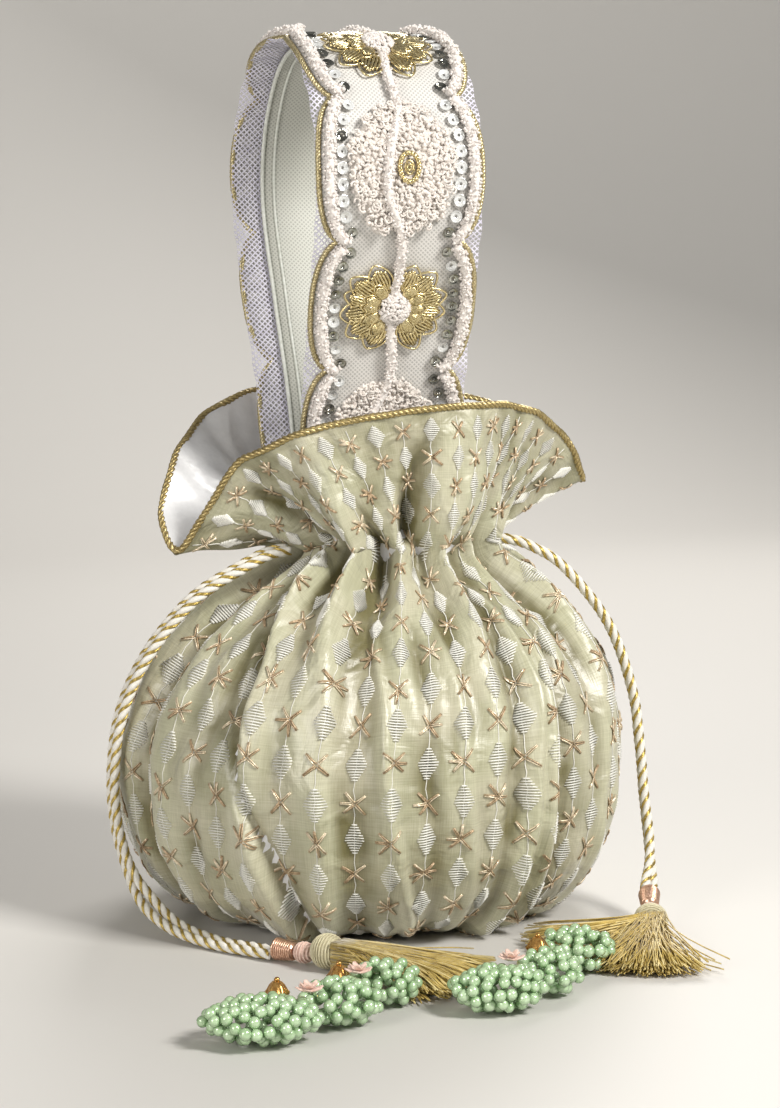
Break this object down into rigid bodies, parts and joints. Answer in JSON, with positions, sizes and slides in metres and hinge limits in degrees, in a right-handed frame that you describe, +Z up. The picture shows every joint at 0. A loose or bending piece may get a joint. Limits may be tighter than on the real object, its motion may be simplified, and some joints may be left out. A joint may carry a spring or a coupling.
{
  "type": "potli bag",
  "caption": "Gathered silk pouch bag with a scalloped bracelet handle, braided drawcords, silk tassels and pearl clusters.",
  "frame": {"origin": "centre of the flat base panel, on the surface that the bag stands on", "axes": "+Z up; +X towards the right drawcord, the handle arches in the YZ plane with its front limb at -Y"},
  "size_m": [0.2241, 0.3096, 0.3562],
  "materials": {
    "embroidered_silk": "pale celadon silk with zari stars and satin stitch",
    "satin_lining": "white satin",
    "gold_braid": "metallic gold braid",
    "net": "fine lilac white net",
    "handle_satin": "pale satin under net",
    "handle_cloth": "white embroidered ground",
    "gold_bullion": "gold wire and bullion",
    "boucle": "nubby cream pile",
    "chenille": "white chenille cord",
    "braided_cord": "white and gold braid",
    "rose_gold_wire": "rose gold wire wrap",
    "thread_bead": "pink thread ball",
    "tassel_head": "wrapped khaki thread",
    "tassel_silk": "old gold silk thread",
    "mint_pearl": "pearlescent mint",
    "flower_cap": "orange gold",
    "thread_flower": "pink thread"
  },
  "bodies": {
    "root": {"base_panel": "embroidered_silk", "channel_cord": "braided_cord", "chenille_ring_1": "chenille", "chenille_ring_2": "chenille", "chenille_ring_3": "chenille", "chenille_ring_4": "chenille", "chenille_ring_5": "chenille", "chenille_ring_6": "chenille", "chenille_ring_7": "chenille", "chenille_ring_8": "chenille", "handle_facing": "handle_cloth", "handle_lining": "handle_satin", "handle_net": "net", "inner_lining": "satin_lining", "left_drawcord_front": "braided_cord", "left_drawcord_rear": "braided_cord", "left_flower_cap_a": "flower_cap", "left_flower_cap_b": "flower_cap", "left_pearl_cluster_a": "mint_pearl", "left_pearl_cluster_b": "mint_pearl", "left_pearl_cluster_c": "mint_pearl", "left_tassel_head": "tassel_head", "left_tassel_skirt": "tassel_silk", "left_thread_bead": "thread_bead", "left_thread_flower_a": "thread_flower", "left_thread_flower_b": "thread_flower", "left_whipping": "rose_gold_wire", "lip_piping": "gold_braid", "medallion_1": "boucle", "medallion_2": "gold_bullion", "medallion_3": "boucle", "medallion_4": "gold_bullion", "medallion_5": "gold_bullion", "medallion_6": "boucle", "medallion_7": "gold_bullion", "medallion_8": "boucle", "outer_pouch": "embroidered_silk", "right_drawcord_front": "braided_cord", "right_drawcord_rear": "braided_cord", "right_flower_cap": "flower_cap", "right_pearl_cluster_a": "mint_pearl", "right_pearl_cluster_b": "mint_pearl", "right_pearl_cluster_c": "mint_pearl", "right_tassel_head": "tassel_head", "right_tassel_skirt": "tassel_silk", "right_thread_bead": "thread_bead", "right_thread_flower": "thread_flower", "right_whipping": "rose_gold_wire", "scallop_braid_left": "gold_braid", "scallop_braid_right": "gold_braid"}
  },
  "joints": []
}
